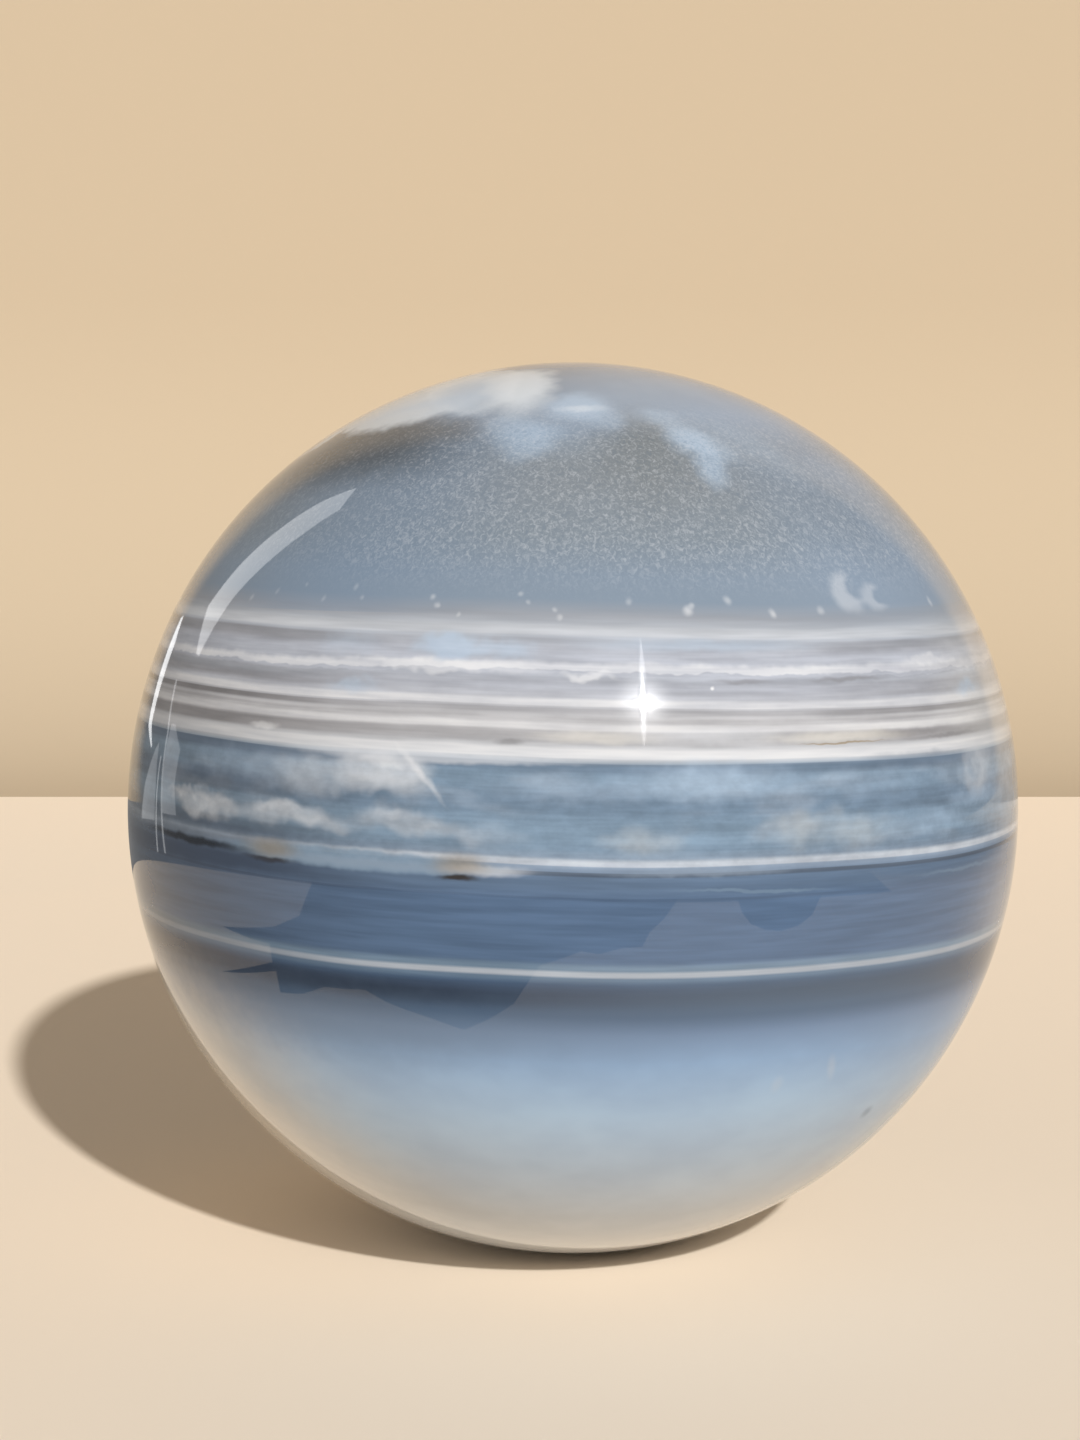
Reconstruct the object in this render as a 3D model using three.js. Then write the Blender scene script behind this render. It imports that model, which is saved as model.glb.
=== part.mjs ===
// A polished agate sphere, 80 mm across, lying on a small ground flat.
// Millimetres, +Z up. The origin is the centre of the flat, so the stone stands on the plane z = 0.
import * as THREE from "three";

// Driving dimensions
const SPHERE_DIAMETER = 80;
const FLAT_DIAMETER = 12;

// Facets of the round surface: around the stone, from the flat up to the equator, and from there to the top
const FACETS_AROUND = 96;
const FACETS_BELOW_EQUATOR = 22;
const FACETS_ABOVE_EQUATOR = 24;

const STONE_COLOUR = 0x8f9fb3;
const STONE_ROUGHNESS = 0.08;

// Points on a circle about (0, centreHeight), from one angle up to another, which is left out.
function arcPoints(radius, centreHeight, fromAngle, toAngle, facets) {
  const points = [];
  for (let step = 0; step < facets; step += 1) {
    const angle = THREE.MathUtils.lerp(fromAngle, toAngle, step / facets);
    points.push(new THREE.Vector2(radius * Math.cos(angle), centreHeight + radius * Math.sin(angle)));
  }
  return points;
}

// Half the stone's outline, in the plane of x and y with y upwards, from the middle of the flat to the top.
function stoneProfile() {
  const radius = SPHERE_DIAMETER / 2;
  const flatRadius = FLAT_DIAMETER / 2;
  const centreHeight = Math.sqrt(radius ** 2 - flatRadius ** 2);
  const flatEdgeAngle = Math.atan2(-centreHeight, flatRadius);
  const equatorAngle = 0;
  const topAngle = Math.PI / 2;
  return [
    new THREE.Vector2(0, 0),
    ...arcPoints(radius, centreHeight, flatEdgeAngle, equatorAngle, FACETS_BELOW_EQUATOR),
    ...arcPoints(radius, centreHeight, equatorAngle, topAngle, FACETS_ABOVE_EQUATOR),
    new THREE.Vector2(0, centreHeight + radius),
  ];
}

// The stone is one solid: its bands are colour in the stone and have no edges of their own.
function agateSphere() {
  const geometry = new THREE.LatheGeometry(stoneProfile(), FACETS_AROUND);
  geometry.rotateX(Math.PI / 2);
  const polish = new THREE.MeshStandardMaterial({
    color: STONE_COLOUR,
    roughness: STONE_ROUGHNESS,
    metalness: 0,
  });
  const stone = new THREE.Mesh(geometry, polish);
  stone.name = "agate_sphere";
  return stone;
}

const part = new THREE.Group();
part.add(agateSphere());

export default part;
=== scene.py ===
"""A polished agate sphere, lying on the small ground flat underneath it, on a plain pale floor.

Metres throughout, +Z up, in the frame of the solid model. The stone's own patterns are laid out in
millimetres from its centre, with heights taken along the line that the bands lie square to.
"""

import math

import bpy
from mathutils import Matrix, Vector


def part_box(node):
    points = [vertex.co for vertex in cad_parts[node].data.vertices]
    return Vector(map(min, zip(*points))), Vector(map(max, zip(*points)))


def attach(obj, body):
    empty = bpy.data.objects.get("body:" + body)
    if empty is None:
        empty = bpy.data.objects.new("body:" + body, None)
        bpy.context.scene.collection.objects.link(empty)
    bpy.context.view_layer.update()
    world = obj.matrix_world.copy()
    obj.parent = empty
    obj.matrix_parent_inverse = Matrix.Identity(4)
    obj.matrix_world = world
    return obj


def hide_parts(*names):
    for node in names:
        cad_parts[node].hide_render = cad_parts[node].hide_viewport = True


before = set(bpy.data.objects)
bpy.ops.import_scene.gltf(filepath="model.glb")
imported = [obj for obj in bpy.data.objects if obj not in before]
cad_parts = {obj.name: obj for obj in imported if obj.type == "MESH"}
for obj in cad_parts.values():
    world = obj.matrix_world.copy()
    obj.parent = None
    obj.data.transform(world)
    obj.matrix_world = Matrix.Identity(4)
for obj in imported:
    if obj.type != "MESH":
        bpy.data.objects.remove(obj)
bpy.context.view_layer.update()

MILLIMETRE = 0.001

# The stone, from the solid model
STONE_LOW, STONE_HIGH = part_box("agate_sphere")
STONE_RADIUS = (STONE_HIGH.x - STONE_LOW.x) / 2
CENTRE_HEIGHT = STONE_HIGH.z - STONE_RADIUS
FLAT_RADIUS = math.sqrt(STONE_RADIUS ** 2 - CENTRE_HEIGHT ** 2)
RADIUS_MM = STONE_RADIUS / MILLIMETRE

# The finish is worked out in four zones, each with its own bands and patches: name, lowest and highest
# height in millimetres over the stone's centre
ZONES = (
    ("Dome Agate", 19, 50),
    ("White Banded Agate", 8, 19),
    ("Clouded Agate", -4.2, 8),
    ("Blue Agate", -50, -4.2),
)

# The fine surface
FACETS_AROUND = 256
RINGS = 190
RINGS_ON_FLAT = 6
# Rings are told apart by their number, and this difference is still the same ring
SAME_RING = 0.25

# The photograph's camera
PHOTO_WIDTH = 1080
PHOTO_HEIGHT = 1440
FOCAL_LENGTH_PIXELS = 2500
STONE_CENTRE_PIXEL = (572, 805)
STONE_RADIUS_PIXELS = 445
CAMERA_PITCH = math.radians(5.2)
SENSOR_SIZE_MM = 36
CLIP_START = 0.01


def srgb(red, green, blue):
    """A colour given as it looks on a screen, 0 to 255, as the linear colour that a shader takes."""
    def linear(level):
        share = level / 255
        if share <= 0.04045:
            return share / 12.92
        return ((share + 0.055) / 1.055) ** 2.4
    return (linear(red), linear(green), linear(blue), 1.0)


class Nodes:
    """A node tree with short ways to add a node and join it to others."""

    def __init__(self, tree):
        self.tree = tree

    def put(self, value, socket):
        """Gives a socket another node's output, or else a plain value."""
        if isinstance(value, bpy.types.NodeSocket):
            self.tree.links.new(value, socket)
        else:
            socket.default_value = value

    def add(self, kind, inputs=None, **settings):
        node = self.tree.nodes.new(kind)
        for name, value in settings.items():
            setattr(node, name, value)
        for name, value in (inputs or {}).items():
            self.put(value, node.inputs[name])
        return node

    def math(self, operation, first, second=None, third=None, clamp=False):
        node = self.add("ShaderNodeMath", operation=operation, use_clamp=clamp)
        for place, value in enumerate((first, second, third)):
            if value is not None:
                self.put(value, node.inputs[place])
        return node.outputs[0]

    def times(self, first, second):
        return self.math("MULTIPLY", first, second)

    def over(self, first, second):
        return self.math("DIVIDE", first, second)

    def plus(self, first, second):
        return self.math("ADD", first, second)

    def minus(self, first, second):
        return self.math("SUBTRACT", first, second)

    def mix(self, share, first, second):
        """A value that goes from the first to the second as the share goes from 0 to 1."""
        inputs = {"Factor": share, "A": first, "B": second}
        return self.add("ShaderNodeMix", inputs, data_type="FLOAT").outputs[0]

    def apart(self, vector):
        """A vector's X, Y and Z."""
        return self.add("ShaderNodeSeparateXYZ", {"Vector": vector}).outputs

    def together(self, x=0.0, y=0.0, z=0.0):
        return self.add("ShaderNodeCombineXYZ", {"X": x, "Y": y, "Z": z}).outputs[0]


# The shape


def stone_shape_tree():
    """A round stone with a ground flat, in rings from the top down to the flat's edge and on inside it."""
    tree = bpy.data.node_groups.new("Stone With Ground Flat", "GeometryNodeTree")
    tree.is_modifier = True
    for name, kind in (
        ("Radius", "NodeSocketFloat"),
        ("Flat Radius", "NodeSocketFloat"),
        ("Facets Around", "NodeSocketInt"),
        ("Rings", "NodeSocketInt"),
        ("Rings On Flat", "NodeSocketInt"),
        *[(name, "NodeSocketMaterial") for name, low, high in ZONES],
    ):
        tree.interface.new_socket(name, in_out="INPUT", socket_type=kind)
    tree.interface.new_socket("Geometry", in_out="OUTPUT", socket_type="NodeSocketGeometry")
    nodes = Nodes(tree)
    sizes = nodes.add("NodeGroupInput").outputs
    radius = sizes["Radius"]
    ball = nodes.add(
        "GeometryNodeMeshUVSphere",
        {"Segments": sizes["Facets Around"], "Rings": sizes["Rings"], "Radius": radius},
    )
    parts = nodes.apart(nodes.add("GeometryNodeInputPosition").outputs[0])
    from_top = nodes.math("ARCCOSINE", nodes.over(parts["Z"], radius))
    ring = nodes.math("ROUND", nodes.times(from_top, nodes.over(sizes["Rings"], math.pi)))
    round_rings = nodes.minus(sizes["Rings"], sizes["Rings On Flat"])
    kept = nodes.add("GeometryNodeCaptureAttribute", {"Geometry": ball.outputs["Mesh"]}, domain="POINT")
    kept.capture_items.new("FLOAT", "Ring")
    nodes.put(ring, kept.inputs["Ring"])
    flat_edge = nodes.minus(math.pi, nodes.math("ARCSINE", nodes.over(sizes["Flat Radius"], radius)))
    turn = nodes.times(flat_edge, nodes.over(ring, round_rings))
    rise_of_centre = nodes.times(radius, nodes.math("COSINE", flat_edge))
    round_out = nodes.times(radius, nodes.math("SINE", turn))
    round_up = nodes.minus(nodes.times(radius, nodes.math("COSINE", turn)), rise_of_centre)
    rings_left = nodes.over(nodes.minus(sizes["Rings"], ring), sizes["Rings On Flat"])
    flat_out = nodes.times(sizes["Flat Radius"], rings_left)
    on_flat = nodes.math("GREATER_THAN", ring, round_rings)
    out = nodes.mix(on_flat, round_out, flat_out)
    up = nodes.mix(on_flat, round_up, 0.0)
    level = nodes.together(parts["X"], parts["Y"])
    heading = nodes.add("ShaderNodeVectorMath", {0: level}, operation="NORMALIZE").outputs[0]
    outward = nodes.add("ShaderNodeVectorMath", {0: heading, "Scale": out}, operation="SCALE").outputs[0]
    upward = nodes.together(z=up)
    placed = nodes.add("ShaderNodeVectorMath", {0: outward, 1: upward}, operation="ADD").outputs[0]
    shaped = nodes.add("GeometryNodeSetPosition", {"Geometry": kept.outputs["Geometry"], "Position": placed})
    smooth = nodes.add("GeometryNodeSetShadeSmooth", {"Geometry": shaped.outputs[0]}, domain="FACE")
    off_edge = nodes.math("ABSOLUTE", nodes.minus(kept.outputs["Ring"], round_rings))
    on_edge = nodes.math("LESS_THAN", off_edge, SAME_RING)
    crisp = nodes.add(
        "GeometryNodeSetShadeSmooth",
        {"Geometry": smooth.outputs[0], "Selection": on_edge, "Shade Smooth": False},
        domain="EDGE",
    )
    finished = nodes.add("GeometryNodeRealizeInstances", {"Geometry": crisp.outputs[0]})
    face_height = nodes.apart(nodes.add("GeometryNodeInputPosition").outputs[0])["Z"]
    for name, low, high in ZONES:
        over = nodes.math("GREATER_THAN", face_height, CENTRE_HEIGHT + low * MILLIMETRE)
        under = nodes.math("LESS_THAN", face_height, CENTRE_HEIGHT + high * MILLIMETRE)
        within = nodes.times(over, under)
        finished = nodes.add(
            "GeometryNodeSetMaterial",
            {"Geometry": finished.outputs[0], "Selection": within, "Material": sizes[name]},
        )
    nodes.add("NodeGroupOutput", {"Geometry": finished.outputs[0]})
    return tree


def polished_stone(finishes):
    """The stone as one plain mesh, made by the tree above from the solid model's sizes."""
    tree = stone_shape_tree()
    blank = bpy.data.objects.new("stone_blank", bpy.data.meshes.new("stone_blank"))
    bpy.context.scene.collection.objects.link(blank)
    modifier = blank.modifiers.new("Shape", "NODES")
    modifier.node_group = tree
    wanted = {
        "Radius": STONE_RADIUS,
        "Flat Radius": FLAT_RADIUS,
        "Facets Around": FACETS_AROUND,
        "Rings": RINGS,
        "Rings On Flat": RINGS_ON_FLAT,
    }
    for (name, low, high), finish in zip(ZONES, finishes):
        wanted[name] = finish
    for socket in tree.interface.items_tree:
        if socket.in_out == "INPUT":
            modifier[socket.identifier] = wanted[socket.name]
    graph = bpy.context.evaluated_depsgraph_get()
    mesh = bpy.data.meshes.new_from_object(blank.evaluated_get(graph))
    bpy.data.objects.remove(blank)
    mesh.name = "polished_agate"
    stone = bpy.data.objects.new("polished_agate", mesh)
    bpy.context.scene.collection.objects.link(stone)
    return stone


# The stone's pattern. Heights are in millimetres over the stone's centre and turns in degrees to the right of
# the front, which the photograph shows. The bands are level, and the stone rests a little tilted.

BAND_TILT = math.radians(1.2)

COLOURS = {
    "milk": srgb(226, 229, 232),
    "white": srgb(212, 215, 221),
    "pale": srgb(196, 201, 210),
    "mist": srgb(174, 180, 189),
    "cool mist": srgb(158, 165, 176),
    "lilac mist": srgb(162, 168, 181),
    "warm mist": srgb(165, 167, 173),
    "ash": srgb(137, 143, 153),
    "soot": srgb(113, 113, 117),
    "cream": srgb(208, 206, 200),
    "smoke": srgb(121, 129, 137),
    "brown smoke": srgb(108, 112, 113),
    "dark smoke": srgb(72, 77, 82),
    "dome": srgb(119, 130, 141),
    "dome blue": srgb(119, 134, 151),
    "dome deep": srgb(108, 130, 156),
    "dome milk": srgb(205, 214, 224),
    "powder": srgb(137, 153, 173),
    "ice": srgb(166, 186, 209),
    "sky": srgb(148, 170, 195),
    "dusk": srgb(112, 134, 156),
    "dim": srgb(102, 123, 145),
    "slate": srgb(88, 105, 126),
    "deep slate": srgb(88, 108, 134),
    "clear": srgb(80, 101, 130),
    "deep": srgb(70, 90, 117),
    "ink": srgb(54, 66, 86),
    "night": srgb(22, 28, 38),
    "low dusk": srgb(106, 129, 160),
    "low blue": srgb(128, 156, 190),
    "low pale": srgb(152, 176, 202),
    "low grey": srgb(162, 178, 196),
    "haze": srgb(179, 185, 192),
    # A painted warm glow of light bounced from the floor, for the lower left
    "painted floor glow": srgb(230, 219, 201),
    "rust": srgb(132, 113, 76),
    "umber": srgb(46, 42, 40),
}

# The stone's main colours, from the top down to the lowest white band, and from there down to the flat
UPPER_BODY = (
    (40, "powder"),
    (35, "powder"),
    (32.5, "smoke"),
    (29, "smoke"),
    (25, "dome"),
    (22, "dome blue"),
    (20.2, "dome blue"),
    (19, "ash"),
    (17.8, "cool mist"),
    (16.4, "lilac mist"),
    (13.6, "lilac mist"),
    (11.4, "warm mist"),
    (9.9, "warm mist"),
    (8.4, "mist"),
)
LOWER_BODY = (
    (8.4, "mist"),
    (7.9, "dusk"),
    (6.6, "dusk"),
    (5, "dim"),
    (3.2, "dusk"),
    (1.6, "dusk"),
    (0.6, "powder"),
    (-0.4, "deep slate"),
    (-1.3, "deep slate"),
    (-2.2, "clear"),
    (-4, "clear"),
    (-7.2, "clear"),
    (-7.8, "dim"),
    (-8.8, "deep"),
    (-9.9, "ink"),
    (-11.7, "deep"),
    (-13.2, "low dusk"),
    (-15.6, "low blue"),
    (-20, "low pale"),
    (-25, "low grey"),
    (-31, "haze"),
    (-40, "milk"),
)
BODY_CHANGE = 8.4

# How strong a band is on the left, in the middle and on the right
EVEN = (1.0, 1.0, 1.0)
# Bands darker on the left: partly the stone's own smoke and partly painted shade on the side away from the
# key light
SMOKY_AND_SHADED_LEFT = (1.0, 0.3, 0.7)
DARK_ROUND = (1.0, 0.65, 0.9)
BRIGHT_SIDES = (1.0, 0.7, 0.85)
DIM_LEFT = (0.5, 1.0, 0.9)
RIGHT_ONLY = (0.0, 0.8, 0.9)
DIM_RIGHT = (1.0, 1.0, 0.72)

# Level bands: height, half thickness, softness above, softness below, colour, strength, and its share by side
BANDS = (
    (18, 0.2, 1, 0.4, "mist", 0.15, EVEN),
    (17.75, 0.18, 0.6, 0.22, "white", 0.3, BRIGHT_SIDES),
    (16.95, 0.2, 0.22, 0.8, "soot", 0.6, SMOKY_AND_SHADED_LEFT),
    (13.7, 0.35, 0.45, 0.5, "soot", 0.58, SMOKY_AND_SHADED_LEFT),
    (12.45, 0.16, 0.32, 0.14, "white", 0.5, EVEN),
    (11.9, 0.12, 0.12, 0.25, "soot", 0.95, SMOKY_AND_SHADED_LEFT),
    (11.3, 0.05, 0.1, 0.1, "soot", 0.25, SMOKY_AND_SHADED_LEFT),
    (10.7, 0.14, 0.28, 0.22, "white", 0.4, EVEN),
    (9.9, 0.28, 0.3, 0.35, "soot", 0.78, (1, 0.3, 0.65)),
    (8.75, 0.26, 0.32, 0.14, "white", 0.46, EVEN),
    (7.8, 0.2, 0.12, 0.55, "slate", 0.95, DARK_ROUND),
    (4.9, 0.5, 0.6, 0.5, "slate", 0.65, SMOKY_AND_SHADED_LEFT),
    (1.4, 0.4, 0.5, 0.45, "slate", 0.65, SMOKY_AND_SHADED_LEFT),
    (0.52, 0.13, 0.4, 0.12, "white", 0.42, RIGHT_ONLY),
    (-0.28, 0.1, 0.08, 0.16, "umber", 0.55, RIGHT_ONLY),
    (-1.4, 0.45, 0.25, 0.35, "deep", 0.75, (1, 0.3, 0.35)),
    (-2.2, 0.06, 0.08, 0.12, "ink", 0.45, (1, 0.5, 0.2)),
    (-8.1, 0.45, 0.45, 0.55, "dusk", 0.45, DIM_LEFT),
    (-8.2, 0.1, 0.28, 0.24, "pale", 0.5, DIM_LEFT),
    (-9.9, 0.3, 0.8, 1.1, "ink", 0.8, (1, 0.62, 0.72)),
)
TORN_BANDS = (
    (15.05, 0.13, 0.5, 0.16, "white", 0.5, DIM_RIGHT),
    (14.35, 0.14, 0.1, 0.35, "ash", 0.6, SMOKY_AND_SHADED_LEFT),
)

# Clouds, streaks and patches round the side: turn, height, half width in degrees, half height, softness of
# the edge, the edge's kind, colour, strength, and how far it climbs over ten degrees
CLIMB_OVER = 10
SIDE_PATCHES = (
    # Smoky on the left, partly the stone's own smoke and partly painted shade away from the key light, and
    # hazy near the right rim, partly the stone's haze and partly a painted haze of reflected light, right
    # through the lower bands
    (-52, -1, 20, 9, 0.9, "torn", "umber", 0.36, 0),
    (71, 8, 11, 6, 0.9, "torn", "mist", 0.3, 0),
    (71, -6, 11, 3.6, 0.9, "torn", "mist", 0.34, 0),
    (64, 13, 10, 5, 0.9, "plain", "cream", 0.25, 0),
    (52, 22, 22, 3.6, 0.9, "plain", "powder", 0.42, 0),
    # Between the first and the second band
    (-16, 16.6, 4.2, 0.85, 0.5, "torn", "ice", 0.62, 0),
    (-9, 16.5, 2.6, 0.6, 0.8, "torn", "ice", 0.45, 0),
    (-30, 16.4, 3.5, 0.6, 0.9, "torn", "ice", 0.22, 0),
    (15, 16.9, 12, 0.4, 0.8, "calm", "ice", 0.35, 0),
    # Puffs and a dip along the second band
    (-18, 15.05, 7.5, 0.45, 0.5, "torn", "white", 0.4, 0),
    (-8, 15, 3, 0.4, 0.6, "torn", "white", 0.25, 0),
    (0.5, 14.5, 3, 0.3, 0.5, "torn", "white", 0.55, 0),
    (50, 15.5, 5, 0.35, 0.6, "torn", "white", 0.35, 0),
    # Between the second band and the third
    (-28, 13.3, 2.6, 0.45, 0.8, "torn", "ice", 0.4, 0),
    (58, 13.1, 2.6, 0.55, 0.8, "torn", "ice", 0.45, 0),
    (19.5, 14.2, 3.2, 0.16, 0.7, "calm", "soot", 0.45, 0),
    (34, 14.3, 4.5, 0.16, 0.7, "calm", "soot", 0.5, 0),
    # Between the fourth band and the fifth
    (2, 10, 6, 0.4, 0.7, "calm", "cream", 0.4, 0),
    (15, 10.1, 8, 0.5, 0.8, "calm", "pale", 0.45, 0),
    (43, 10, 7, 0.3, 0.8, "calm", "soot", 0.55, 0),
    (50, 9.5, 6, 0.14, 0.8, "calm", "soot", 0.5, 0),
    (32, 9.9, 8, 0.4, 0.7, "calm", "cream", 0.5, 0),
    (32, 9.45, 5.5, 0.07, 0.5, "calm", "rust", 0.6, 0),
    (-18, 8.15, 15, 0.4, 0.5, "calm", "pale", 0.52, 0),
    (43, 8, 8, 0.4, 0.7, "calm", "slate", 0.4, 0),
    (-8, 9.5, 1.3, 0.22, 0.6, "calm", "umber", 0.3, 0),
    (-40, 9.6, 2, 0.22, 0.6, "calm", "white", 0.45, 0),
    # The cloud under the fifth band, with a wisp at its right end, and the blue ones beside it
    (-42, 6.4, 8, 1.2, 0.8, "torn", "powder", 0.36, 0),
    (-47, 5.1, 8, 0.7, 0.8, "torn", "ink", 0.3, 0),
    (-30, 4.5, 9, 0.4, 0.8, "torn", "ink", 0.16, 0),
    (-31.5, 6.4, 3.8, 1.3, 0.7, "lumpy", "mist", 0.4, 0),
    (-23, 6.9, 5.4, 1.2, 0.45, "lumpy", "pale", 0.56, 0),
    (-24, 5.8, 4, 0.9, 0.5, "lumpy", "mist", 0.56, 0),
    (-19.4, 5.9, 2.8, 1.1, 0.6, "lumpy", "mist", 0.42, 0),
    (-22.5, 7.5, 3.4, 0.35, 0.8, "torn", "white", 0.32, 0),
    (-18.1, 6.9, 2.3, 0.3, 0.8, "calm", "white", 0.42, -6.7),
    (14.5, 6.7, 7.5, 1.2, 0.8, "torn", "ice", 0.52, 0),
    (0, 6.2, 8, 0.9, 0.9, "torn", "powder", 0.38, 0),
    (32, 6.4, 9, 0.9, 0.9, "torn", "powder", 0.3, 0),
    (50, 6.6, 6, 1.2, 0.7, "torn", "slate", 0.25, 0),
    (47, 2.9, 5, 0.7, 0.8, "torn", "sky", 0.36, 0),
    (57.5, 6.6, 3.8, 1.5, 0.7, "torn", "mist", 0.5, 0),
    (57, 4.4, 6, 0.6, 0.8, "torn", "sky", 0.5, 0),
    # Puffy clouds, lighter on top and shaded underneath
    (-50, 3, 6.5, 0.8, 0.55, "lumpy", "mist", 0.56, 0),
    (-44.5, 2.9, 4.2, 0.6, 0.6, "lumpy", "mist", 0.42, 0),
    (-47.5, 2.1, 3.4, 0.55, 0.6, "lumpy", "mist", 0.36, 0),
    (-51.5, 3.6, 4.5, 0.3, 0.8, "torn", "white", 0.26, 0),
    (-34, 3.2, 5.5, 0.8, 0.55, "lumpy", "mist", 0.5, 0),
    (-30, 2.6, 4, 0.65, 0.6, "lumpy", "mist", 0.4, 0),
    (-36.5, 3.6, 3, 0.35, 0.8, "torn", "pale", 0.32, 0),
    (-19.5, 3.2, 5, 0.8, 0.6, "lumpy", "mist", 0.42, 0),
    (-15, 2.5, 3.4, 0.65, 0.65, "lumpy", "mist", 0.34, 0),
    (-20.5, 3.7, 2.6, 0.3, 0.8, "torn", "pale", 0.24, 0),
    (-45, 1.3, 10, 0.35, 0.9, "calm", "ink", 0.4, 0),
    (-27, 1.3, 10, 0.3, 0.9, "torn", "slate", 0.4, 0),
    (6.5, 2.5, 3, 0.75, 0.9, "lumpy", "cream", 0.22, 0),
    (24.5, 2.9, 2.8, 0.95, 0.8, "lumpy", "cream", 0.22, 0),
    (32.5, 2.9, 4, 1.1, 0.8, "lumpy", "cream", 0.2, 0),
    # The broken left part of the sixth band, with its brown spots and the dark line at its left
    (-26, -0.05, 17.5, 0.8, 0.25, "calm", "dusk", 0.85, 0),
    (-24, -0.3, 14, 0.35, 0.8, "calm", "powder", 0.45, 0),
    (-10, -0.2, 4, 0.4, 0.6, "calm", "pale", 0.5, 0),
    (-37, 0.15, 3.2, 0.6, 0.8, "calm", "rust", 0.5, 0),
    (-13, 0.1, 2.6, 0.75, 0.8, "calm", "rust", 0.5, 0),
    (-37.5, -0.75, 3, 0.24, 0.6, "calm", "umber", 0.95, 0),
    (-13.2, -0.9, 2, 0.2, 0.6, "calm", "umber", 0.95, 0),
    (-50, -1.3, 19, 0.75, 0.6, "calm", "ink", 0.8, 0),
    (-52, -0.3, 10, 0.32, 0.6, "calm", "night", 0.92, 0),
    (14, -0.1, 9, 0.3, 0.6, "calm", "powder", 0.45, 0),
    (20, -1.6, 8, 0.14, 0.5, "calm", "dusk", 0.48, -0.2),
    (52, -1.4, 8, 0.14, 0.7, "calm", "dusk", 0.38, 0),
    # The dark band is lighter on the right, and the lower part on the left is pale and warm with a painted
    # glow of light bounced from the floor
    (-22, -10.3, 18, 0.7, 0.9, "plain", "night", 0.42, 0),
    (32, -10.3, 30, 1.6, 0.8, "plain", "dim", 0.3, 0),
    (-26, -13.2, 28, 2.6, 0.9, "torn", "slate", 0.42, 0),
    (-50, -15, 12, 3, 0.9, "torn", "umber", 0.16, 0),
    (-100, -20.5, 48, 9, 0.6, "torn", "painted floor glow", 0.8, 0),
    (-86, -29, 46, 6.5, 0.6, "torn", "painted floor glow", 0.55, 0),
    # Faint marks in the lowest part
    (48.5, -22.5, 0.9, 0.45, 0.8, "plain", "slate", 0.45, 0),
    (35, -17, 0.8, 0.7, 0.8, "plain", "haze", 0.25, -8),
    (27, -18, 0.7, 0.6, 0.8, "plain", "haze", 0.2, 0),
)

# Patches on the dome, seen from straight above: right of the middle, behind the middle, half width, half
# depth, softness, how far it leans back over a millimetre to the left, colour, strength
MILK_LEAN = 0.45
SMOKE_LEAN = 0.7
# How freely the patches' edges wander behind what the photograph shows
DOME_FREEDOM = 16.0
DOME_PATCHES = (
    (-13, -9, 13, 13, 0.4, 0, "slate", 0.45),
    (-16.5, -24.5, 9, 7, 0.8, 0, "dome deep", 0.42),
    (-18.5, -15.6, 7, 4.2, 0.6, SMOKE_LEAN, "dark smoke", 0.88),
    (-11, -18.9, 4.6, 1.5, 0.8, SMOKE_LEAN, "dark smoke", 0.5),
    (19, -13, 9, 9.5, 0.8, 0, "low blue", 0.42),
    (18, -20, 6, 3.4, 0.8, 0, "smoke", 0.4),
    (4.8, -23.6, 3.4, 4.4, 0.8, 0, "brown smoke", 0.6),
    (-3, -20.3, 4.8, 3, 0.7, 0, "powder", 0.6),
    (-4.6, -22.6, 2.2, 2, 0.6, 0, "ice", 0.52),
    (-6.8, -20.4, 1.6, 1.4, 0.7, 0, "ice", 0.34),
    (-0.6, -18.2, 2.4, 1.9, 0.6, 0, "ice", 0.74),
    (-0.2, -18.7, 1.5, 0.5, 0.9, 0, "dome milk", 0.5),
    (1.6, -20.2, 1.5, 1.2, 0.8, 0, "ice", 0.38),
    (6.3, -18.9, 1.6, 1.2, 0.7, 0, "ice", 0.4),
    (8.4, -21, 1.7, 1.6, 0.6, 0, "ice", 0.6),
    (10.3, -23.2, 1.3, 1.9, 0.6, 0, "ice", 0.56),
    (10.2, -21, 2.2, 1.2, 0.7, 0, "ice", 0.42),
    (13.5, -18.6, 4, 2, 0.8, 0, "sky", 0.3),
    (-14.8, -7, 7.7, 8.3, 0.1, MILK_LEAN, "dome milk", 0.74),
    (-9.5, -9.6, 4, 8, 0.12, MILK_LEAN, "dome milk", 0.56),
    (-9.6, -12.5, 2.4, 4, 0.9, 0, "sky", 0.62),
    (-13, -12.5, 5, 1, 0.9, MILK_LEAN, "ice", 0.35),
    (-5.2, -13.2, 2.5, 5.2, 0.5, 0, "dome milk", 0.86),
)

# Small white specks over the first band: turn, height, half height, strength
SPECKS = (
    (-50, 19.3, 0.2, 0.22),
    (-45, 20, 0.18, 0.2),
    (-40, 20.6, 0.16, 0.22),
    (-36, 19.6, 0.2, 0.24),
    (-31.5, 20.7, 0.18, 0.26),
    (-30, 19.9, 0.16, 0.24),
    (-19.5, 20.1, 0.2, 0.32),
    (-18.8, 19.5, 0.18, 0.32),
    (-16, 18.9, 0.16, 0.26),
    (-8, 20.5, 0.18, 0.24),
    (-7, 19.9, 0.16, 0.22),
    (-3.5, 19.5, 0.16, 0.26),
    (-3, 18.9, 0.2, 0.3),
    (6, 20.2, 0.24, 0.22),
    (13.3, 19.5, 0.32, 0.46),
    (13.9, 19.9, 0.2, 0.3),
    (19, 20.3, 0.3, 0.32),
    (25, 19.3, 0.28, 0.42),
    (32.5, 19.5, 0.28, 0.28),
    (57, 20.1, 0.3, 0.35),
    (15.5, 13.7, 0.1, 1),
)

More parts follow.
